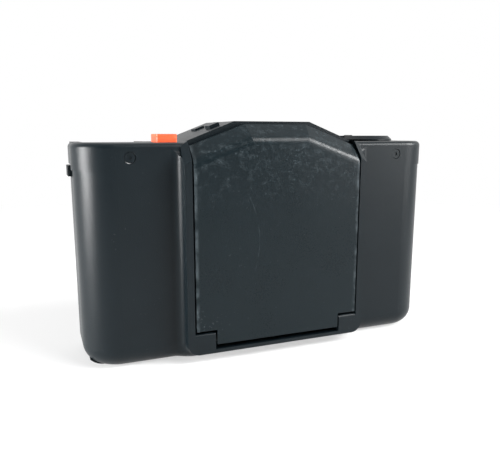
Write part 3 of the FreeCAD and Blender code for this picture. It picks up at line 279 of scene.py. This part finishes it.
@dataclass(frozen=True)
class WornAndHighlightedDoorPlastic(MouldedPlastic):
    """The door's plastic: glossy rub wear with painted highlight at the top, pale worn edges with painted
    edge highlight, and a fine scratch.
    """

    half_width: float = 22.55 * MM
    rub_wear_highlight_start: float = 38.0 * MM
    rub_wear_highlight_full: float = 52.0 * MM
    scratch_centre: tuple[float, float, float] = (-31.0 * MM, -15.4 * MM, 31.0 * MM)
    scratch_radius: float = 25.0 * MM
    scratch_width: float = 0.12 * MM
    scratch_low: float = 20.0 * MM
    scratch_full: float = 24.0 * MM
    edge_width: float = 0.5 * MM
    corner: tuple[float, float, float] = (-22.0 * MM, -15.4 * MM, 9.0 * MM)
    chip_near: float = 2.0 * MM
    chip_far: float = 6.0 * MM

    def build(self) -> bpy.types.Material:
        """Makes the material."""
        work, colour, roughness = self.grained()
        across, _, height = work.axes()
        blotch = work.noise(520.0, 4.0, 0.65).rising(0.5, 0.68)
        dots = work.noise(1500.0, 1.0).rising(0.66, 0.74)
        # Painted highlight mixed with rub wear: pale colour and lower roughness rising toward the door's top,
        # broken into blotches and dots.
        rub_wear_and_highlight = (height.rising(self.rub_wear_highlight_start, self.rub_wear_highlight_full) * (blotch * 0.55 + dots * 0.8)).clamped()
        # Painted edge highlight mixed with edge wear: pale stripes along the door's side edges, broken up by
        # noise.
        edge = across.size().rising(self.half_width - self.edge_width, self.half_width)
        edge = edge * work.noise(420.0, 3.0).rising(0.4, 0.6)
        from_arc = (work.distance(self.scratch_centre) - self.scratch_radius).size()
        scratch = (1 - from_arc.rising(0.0, self.scratch_width)) * work.noise(260.0, 2.0).rising(0.46, 0.6)
        scratch = scratch * height.rising(self.scratch_low, self.scratch_full)
        near_corner = 1 - work.distance(self.corner).rising(self.chip_near, self.chip_far)
        chips = near_corner * work.noise(1300.0, 2.0).above(0.63)
        # The pale colour holds painted highlight at the top and the side edges, besides the scratch and chip
        # wear.
        pale = (rub_wear_and_highlight * 0.5 + edge * 0.6 + scratch * 0.45 + chips * 0.7).clamped()
        work.feed("Base Color", work.mix(pale, colour, tinted(self.colour, 3.6, 0.05)))
        work.feed("Roughness", (roughness - rub_wear_and_highlight * 0.2).clamped())
        return work.material


@dataclass(frozen=True)
class DullPaint:
    """Thin filled-in paint of the numerals and index marks."""

    name: str
    colour: tuple[float, float, float, float]

    def build(self) -> bpy.types.Material:
        """Makes the material."""
        work = Shader(self.name)
        wear = work.noise(1400.0, 3.0)
        work.feed("Base Color", work.mix(wear, tinted(self.colour, 0.8), self.colour))
        work.feed("Roughness", (0.55 + (wear - 0.5) * 0.2).clamped())
        return work.material


@dataclass(frozen=True)
class Metal:
    """Bare or blacked metal with fine turning marks."""

    name: str
    colour: tuple[float, float, float, float]
    metallic: float = 1.0
    roughness: float = 0.32

    def build(self) -> bpy.types.Material:
        """Makes the material."""
        work = Shader(self.name)
        marks = work.noise(1800.0, 2.0)
        cloud = work.noise(90.0, 2.0)
        dark = (self.colour[0] * 0.8, self.colour[1] * 0.8, self.colour[2] * 0.8, 1.0)
        work.feed("Base Color", work.mix(cloud, dark, self.colour))
        work.feed("Metallic", self.metallic)
        work.feed("Roughness", (self.roughness + (marks - 0.5) * 0.2).clamped())
        work.bump(marks, 0.00002)
        return work.material


@dataclass(frozen=True)
class CoatedGlass:
    """Clear glass with a faint dust film."""

    name: str
    tint: tuple[float, float, float, float]

    def build(self) -> bpy.types.Material:
        """Makes the material."""
        work = Shader(self.name)
        dust = work.noise(300.0, 4.0)
        work.feed("Base Color", self.tint)
        work.feed("Transmission Weight", 1.0)
        work.feed("IOR", 1.5)
        work.feed("Roughness", dust * 0.06)
        work.feed("Coat Weight", 0.4)
        return work.material


class Finish(Enum):
    """The named finishes of the camera."""

    SHELL = MouldedPlastic("shell_plastic", srgb(14, 22, 26))
    DOOR = WornAndHighlightedDoorPlastic("door_plastic", srgb(13, 23, 27), 0.30)
    INK = DullPaint("white_numerals", srgb(214, 214, 208))
    ORANGE = MouldedPlastic("orange_plastic", srgb(240, 92, 50), 0.38, 1500.0, 0.00001, 0.1, 0.5)
    INNER = MouldedPlastic("inner_black", srgb(24, 25, 27), 0.7, 1800.0, 0.00002, 0.1)
    BLACK_METAL = Metal("black_metal", srgb(38, 39, 41), 0.6, 0.42)
    STEEL = Metal("steel", srgb(190, 190, 194))
    BRASS = Metal("brass", srgb(214, 180, 112))
    BOARD = MouldedPlastic("circuit_board_green", srgb(40, 104, 64), 0.35, 600.0, 0.00001, 0.1)
    GLASS = CoatedGlass("coated_glass", srgb(236, 240, 248))


SLOT_FINISH: dict[str, Finish] = {
    "shell": Finish.SHELL, "orange": Finish.ORANGE, "inner_black": Finish.INNER, "glass": Finish.GLASS,
    "steel": Finish.STEEL, "black_metal": Finish.BLACK_METAL, "brass": Finish.BRASS, "board": Finish.BOARD,
}


class FrameDresser:
    """Gives every carried-over piece its finish."""

    def __init__(self) -> None:
        """Builds each finish once."""
        self.made = {finish: finish.value.build() for finish in Finish}

    def dress(self) -> None:
        """Assigns materials by the record's slots."""
        for row in frame["record"]["subparts"]:
            piece = bpy.data.objects.get(row["node"]) or frame["nodes"][row["node"]]
            finish = Finish.DOOR if row["node"] == "front_door" else SLOT_FINISH[row["material_slot"]]
            material = self.made[finish]
            piece.data.materials.clear()
            piece.data.materials.append(material)
            LOG.info("dressed %s", row["node"])


def centre(node: str) -> Vector:
    """Middle of a node's box."""
    low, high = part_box(node)
    return (Vector(low) + Vector(high)) / 2


def on_surface(spot: Vector, normal: Vector, upwards: Vector) -> Matrix:
    """Turns and moves a flat mark onto a surface.

    Args:
        spot: Where the mark's middle goes.
        normal: Outward direction of the surface.
        upwards: Direction of the mark's top.

    Returns:
        The placing matrix.
    """
    across = upwards.cross(normal).normalized()
    turn = Matrix((across, upwards.normalized(), normal.normalized())).transposed().to_4x4()
    return Matrix.Translation(spot) @ turn


@dataclass
class Workshop:
    """Turns bmeshes and text into finished pieces that ride on a body."""

    made: dict[Finish, bpy.types.Material]

    def piece(self, name: str, shape: bmesh.types.BMesh, body: str, finish: Finish,
              smooth: bool = False) -> None:
        """Makes an object of a bmesh.

        Args:
            name: The piece's name.
            shape: Its bmesh, already in place, which is freed.
            body: The body that carries it.
            finish: Its finish.
            smooth: Whether its faces are shaded smooth.
        """
        bmesh.ops.recalc_face_normals(shape, faces=shape.faces)
        for face in shape.faces:
            face.smooth = smooth
        mesh = bpy.data.meshes.new(name)
        shape.to_mesh(mesh)
        shape.free()
        item = bpy.data.objects.new(name, mesh)
        mesh.materials.append(self.made[finish])
        bpy.context.scene.collection.objects.link(item)
        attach(item, body)
        LOG.info("made %s", name)

    @staticmethod
    def bar(shape: bmesh.types.BMesh, size: tuple[float, float, float], place: Matrix,
            edge: float = 0.0) -> None:
        """Adds a bar with eased edges.

        Args:
            shape: The bmesh that takes it.
            size: Its length, width and height.
            place: Its placing matrix.
            edge: Width of the eased edges, or 0.
        """
        made = bmesh.ops.create_cube(shape, size=1.0)["verts"]
        bmesh.ops.scale(shape, vec=size, verts=made)
        if edge:
            edges = list({link for corner in made for link in corner.link_edges})
            rounded = bmesh.ops.bevel(shape, geom=edges, offset=edge, segments=2, profile=0.5, affect="EDGES",
                                      material=-1)
            made = list({corner for face in rounded["faces"] for corner in face.verts}
                        | {corner for corner in made if corner.is_valid})
        bmesh.ops.transform(shape, matrix=place, verts=made)

    @staticmethod
    def hoop(shape: bmesh.types.BMesh, radius: float, width: float, thick: float, place: Matrix,
             steps: int = 64) -> None:
        """Makes a flat hoop around the local Z axis.

        Args:
            shape: An empty bmesh that takes it.
            radius: Its middle radius.
            width: Its radial width.
            thick: Its height.
            place: Its placing matrix.
            steps: Faces around it.
        """
        corners = [shape.verts.new((radius + side * width / 2, 0.0, level * thick / 2))
                   for side, level in ((-1, -1), (1, -1), (1, 1), (-1, 1))]
        edges = [shape.edges.new((corners[n], corners[(n + 1) % 4])) for n in range(4)]
        bmesh.ops.spin(shape, geom=corners + edges, cent=(0, 0, 0), axis=(0, 0, 1), angle=2 * pi, steps=steps,
                       use_merge=True)
        bmesh.ops.transform(shape, matrix=place, verts=shape.verts)

    def marks(self, name: str, labels: Iterable[tuple[str, Matrix]], size: float, body: str,
              finish: Finish = Finish.INK, depth: float = 0.03 * MM) -> None:
        """Makes thin numerals on a surface as one piece.

        Args:
            name: The piece's name.
            labels: Each text with its placing matrix.
            size: Height of the text.
            body: The body that carries it.
            finish: Its finish.
            depth: Half the thickness of the paint.
        """
        shape = bmesh.new()
        for text, place in labels:
            curve = bpy.data.curves.new("numeral", "FONT")
            curve.body = text
            curve.size = size
            curve.extrude = depth
            curve.align_x = "CENTER"
            curve.align_y = "CENTER"
            holder = bpy.data.objects.new("numeral", curve)
            bpy.context.scene.collection.objects.link(holder)
            bpy.context.view_layer.update()
            graph = bpy.context.evaluated_depsgraph_get()
            mesh = bpy.data.meshes.new_from_object(holder.evaluated_get(graph))
            mesh.transform(place)
            shape.from_mesh(mesh)
            bpy.data.objects.remove(holder)
            bpy.data.curves.remove(curve)
            bpy.data.meshes.remove(mesh)
        bmesh.ops.remove_doubles(shape, verts=shape.verts, dist=0.001 * MM)
        self.piece(name, shape, body, finish)


@dataclass
class LensDress:
    """Grips, scales and trim rings of the lens, all about the lens axis."""

    shop: Workshop
    grip_count: int = 60
    grip: tuple[float, float, float] = (0.5 * MM, 0.9 * MM, 0.3 * MM)
    grip_edge: float = 0.08 * MM
    sunk: float = 0.02 * MM
    proud: float = 0.01 * MM
    bare_half: float = 48.0
    aperture_text: float = 1.25 * MM
    focus_text: float = 1.6 * MM
    hoop_width: float = 0.5 * MM
    hoop_thick: float = 0.16 * MM
    stops: tuple[str, ...] = ("2.8", "4", "5.6", "8", "11", "16")
    distances: tuple[str, ...] = ("0.7", "1", "1.5", "2", "4", "8")
    scale_step: float = 15.0

    def outward(self, angle: float) -> Vector:
        """Direction away from the lens axis, 0 degrees at the top."""
        return Vector((sin(radians(angle)), 0.0, cos(radians(angle))))

    def grips(self, node: str, body: str, skip: float) -> None:
        """Ribs around a ring, left out where its scale is.

        Args:
            node: The ring.
            body: The body that carries it.
            skip: Half the angle that stays bare at the top, in degrees.
        """
        low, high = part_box(node)
        radius = (high[0] - low[0]) / 2
        middle = centre(node)
        shape = bmesh.new()
        for number in range(self.grip_count):
            angle = number * 360.0 / self.grip_count
            if min(angle, 360.0 - angle) < skip:
                continue
            out = self.outward(angle)
            place = on_surface(middle + out * (radius - self.sunk), out, FORWARD)
            self.shop.bar(shape, self.grip, place, self.grip_edge)
        self.shop.piece(node + "_grip", shape, body, Finish.BLACK_METAL)

    def scale(self, node: str, body: str, texts: tuple[str, ...], size: float) -> None:
        """Numerals on the top of a ring.

        Args:
            node: The ring.
            body: The body that carries it.
            texts: The numerals in order.
            size: Their height.
        """
        low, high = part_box(node)
        radius = (high[0] - low[0]) / 2
        labels = []
        for number, text in enumerate(texts):
            out = self.outward((number - (len(texts) - 1) / 2) * self.scale_step)
            labels.append((text, on_surface(centre(node) + out * (radius + self.proud), out, FORWARD)))
        self.shop.marks(node + "_scale", labels, size, body)

    def trim(self) -> None:
        """Bright and dark retaining hoops round the front glass."""
        low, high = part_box("front_lens_cell")
        middle = centre("front_lens_cell")
        turn = Matrix.Rotation(pi / 2, 4, "X")
        for name, radius, back, finish in (("lens_cell_trim", 7.6 * MM, 0.0, Finish.STEEL),
                                           ("lens_retaining_hoop", 6.1 * MM, 0.75 * MM, Finish.BLACK_METAL)):
            shape = bmesh.new()
            spot = Vector((middle.x, low[1] + back, middle.z))
            self.shop.hoop(shape, radius, self.hoop_width, self.hoop_thick, Matrix.Translation(spot) @ turn)
            self.shop.piece(name, shape, "focus", finish, smooth=True)

    def build(self) -> None:
        """Makes every piece of the lens trim."""
        self.grips("aperture_ring", "aperture", self.bare_half)
        self.grips("focus_ring", "focus", self.bare_half)
        self.scale("aperture_ring", "aperture", self.stops, self.aperture_text)
        self.scale("focus_ring", "focus", self.distances, self.focus_text)
        self.trim()


@dataclass
class DialMarks:
    """Plain numerals on the film speed dial and the frame counter."""

    shop: Workshop
    speeds: tuple[str, ...] = ("25", "50", "100", "200", "400", "800")
    counts: tuple[str, ...] = ("0", "6", "12", "18", "24", "30")
    speed_circle: float = 4.1 * MM
    speed_text: float = 1.25 * MM
    count_circle: float = 1.3 * MM
    count_text: float = 0.8 * MM

    def round_face(self, node: str, texts: tuple[str, ...], radius: float, level: float,
                   down: bool) -> list[tuple[str, Matrix]]:
        """Places numerals in a circle on a flat face.

        Args:
            node: The round node.
            texts: The numerals in order.
            radius: Radius of their circle.
            level: Height of the face.
            down: Whether the face looks down.

        Returns:
            Each text with its placing matrix.
        """
        middle = centre(node)
        normal = Vector((0, 0, -1 if down else 1))
        labels = []
        for number, text in enumerate(texts):
            turn = 2 * pi * number / len(texts)
            out = Vector((sin(turn), cos(turn), 0.0))
            labels.append((text, on_surface(Vector((middle.x, middle.y, level)) + out * radius, normal, out)))
        return labels

    def build(self) -> None:
        """Makes the numerals of the dial and the counter."""
        dial_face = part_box("film_speed_dial")[0][2]
        speeds = self.round_face("film_speed_dial", self.speeds, self.speed_circle, dial_face, True)
        self.shop.marks("speed_dial_numerals", speeds, self.speed_text, "speed_dial")
        counter_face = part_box("counter_dial")[1][2]
        counts = self.round_face("counter_dial", self.counts, self.count_circle, counter_face, False)
        self.shop.marks("counter_numerals", counts, self.count_text, "counter")


@dataclass
class ReleaseRibs:
    """Fine grip ribs across the release button."""

    shop: Workshop
    count: int = 7
    pitch: float = 0.825 * MM
    rib: tuple[float, float, float] = (0.3 * MM, 4.6 * MM, 0.24 * MM)
    rib_edge: float = 0.08 * MM
    sunk: float = 0.05 * MM

    def build(self) -> None:
        """Makes the ribs as one piece."""
        middle = centre("release_button")
        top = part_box("release_button")[1][2]
        shape = bmesh.new()
        for number in range(self.count):
            across = middle.x + (number - (self.count - 1) / 2) * self.pitch
            spot = Vector((across, middle.y, top - self.sunk))
            self.shop.bar(shape, self.rib, Matrix.Translation(spot), self.rib_edge)
        self.shop.piece("release_button_ribs", shape, "release", Finish.ORANGE)


@dataclass(frozen=True)
class Lamp:
    """A soft disc lamp that faces the camera body."""

    name: str
    spot: tuple[float, float, float]
    size: float
    power: float

    def build(self, target: Vector) -> None:
        """Makes the lamp and turns it to a point."""
        lamp = bpy.data.lights.new(self.name, "AREA")
        lamp.shape = "DISK"
        lamp.size = self.size
        lamp.energy = self.power
        item = bpy.data.objects.new(self.name, lamp)
        item.location = self.spot
        item.rotation_euler = (target - Vector(self.spot)).to_track_quat("-Z", "Y").to_euler()
        bpy.context.scene.collection.objects.link(item)


@dataclass
class Studio:
    """Pale floor, soft lamps and the camera."""

    eye: tuple[float, float, float] = (-58.22 * MM, -140.81 * MM, 57.75 * MM)
    yaw: float = 21.57
    pitch: float = 10.74
    lens: float = 39.03
    floor_size: float = 6.0
    room_dark: float = -0.85
    room_light: float = -0.15
    paper_near: float = 0.10
    paper_far: float = 0.34
    target: tuple[float, float, float] = (0.0, 0.0, 0.03)
    floor_white: float = 0.55
    lamps: list[Lamp] = field(default_factory=lambda: [
        Lamp("window_lamp", (0.58, -0.50, 0.08), 0.36, 2.6),
        Lamp("left_lamp", (-0.46, -0.02, 0.06), 0.22, 5.5),
        Lamp("sky_lamp", (0.36, -0.46, 0.55), 0.34, 4.0),
        Lamp("side_sky_lamp", (0.62, -0.32, 0.40), 0.34, 7.5),
        Lamp("top_lamp", (0.15, 0.40, 0.80), 0.60, 1.2),
    ])

    def build(self) -> None:
        """Makes the camera, the lamps, the floor and the world."""
        data = bpy.data.cameras.new("view_camera")
        data.sensor_width = 36.0
        data.lens = self.lens
        data.clip_start = 0.005
        camera = bpy.data.objects.new("view_camera", data)
        camera.location = self.eye
        camera.rotation_euler = (radians(90.0 - self.pitch), 0.0, radians(-self.yaw))
        bpy.context.scene.collection.objects.link(camera)
        bpy.context.scene.camera = camera
        for lamp in self.lamps:
            lamp.build(Vector(self.target))
        self.build_floor()
        self.build_world()

    def build_floor(self) -> None:
        """A pale floor that keeps the object's shadow."""
        shape = bmesh.new()
        bmesh.ops.create_grid(shape, x_segments=1, y_segments=1, size=self.floor_size / 2)
        mesh = bpy.data.meshes.new("floor")
        shape.to_mesh(mesh)
        shape.free()
        floor = bpy.data.objects.new("floor", mesh)
        bpy.context.scene.collection.objects.link(floor)
        work = Shader("floor_paper")
        work.feed("Base Color", (0.93, 0.93, 0.93, 1.0))
        work.feed("Roughness", 0.8)
        away = work.distance((0.0, 0.0, 0.0)).rising(self.paper_near, self.paper_far)
        path = work.node("ShaderNodeLightPath")
        seen = (work.out(path, "Is Camera Ray") + work.out(path, "Is Glossy Ray")
                + work.out(path, "Is Transmission Ray")).clamped()
        glow = work.node("ShaderNodeEmission", Color=(1.0, 1.0, 1.0, 1.0), Strength=1.0)
        blend = work.tree.nodes.new("ShaderNodeMixShader")
        share = seen * (self.floor_white + away * (1.0 - self.floor_white))
        work.tree.links.new(share.out, blend.inputs[0])
        work.tree.links.new(work.shader.outputs[0], blend.inputs[1])
        work.tree.links.new(glow.outputs[0], blend.inputs[2])
        work.tree.links.new(blend.outputs[0], work.tree.nodes["Material Output"].inputs["Surface"])
        mesh.materials.append(work.material)

    def build_world(self) -> None:
        """White surroundings with the dim side of a room in front of the object."""
        world = bpy.data.worlds.new("studio")
        bpy.context.scene.world = world
        world.use_nodes = True
        tree = world.node_tree
        background = tree.nodes["Background"]
        path = tree.nodes.new("ShaderNodeLightPath")
        camera, glossy, clear = (Socket(tree, path.outputs[name])
                                 for name in ("Is Camera Ray", "Is Glossy Ray", "Is Transmission Ray"))
        place = tree.nodes.new("ShaderNodeTexCoord")
        split = tree.nodes.new("ShaderNodeSeparateXYZ")
        tree.links.new(place.outputs["Generated"], split.inputs[0])
        behind = Socket(tree, split.outputs[1]).rising(self.room_dark, self.room_light)
        strength = 0.03 + behind * 0.37 + (glossy + clear) * behind * 0.5
        strength = (strength + camera).clamped()
        background.inputs["Color"].default_value = (1.0, 1.0, 1.0, 1.0)
        tree.links.new(strength.out, background.inputs["Strength"])


def main() -> None:
    """Builds the scene in order and reports each piece."""
    logging.basicConfig(level=logging.INFO, format="%(name)s: %(message)s")
    bpy.context.scene.view_settings.view_transform = "Standard"
    Studio().build()
    dresser = FrameDresser()
    dresser.dress()
    shop = Workshop(dresser.made)
    for group in (LensDress(shop), DialMarks(shop), ReleaseRibs(shop)):
        group.build()


if __name__ == "__main__":
    main()
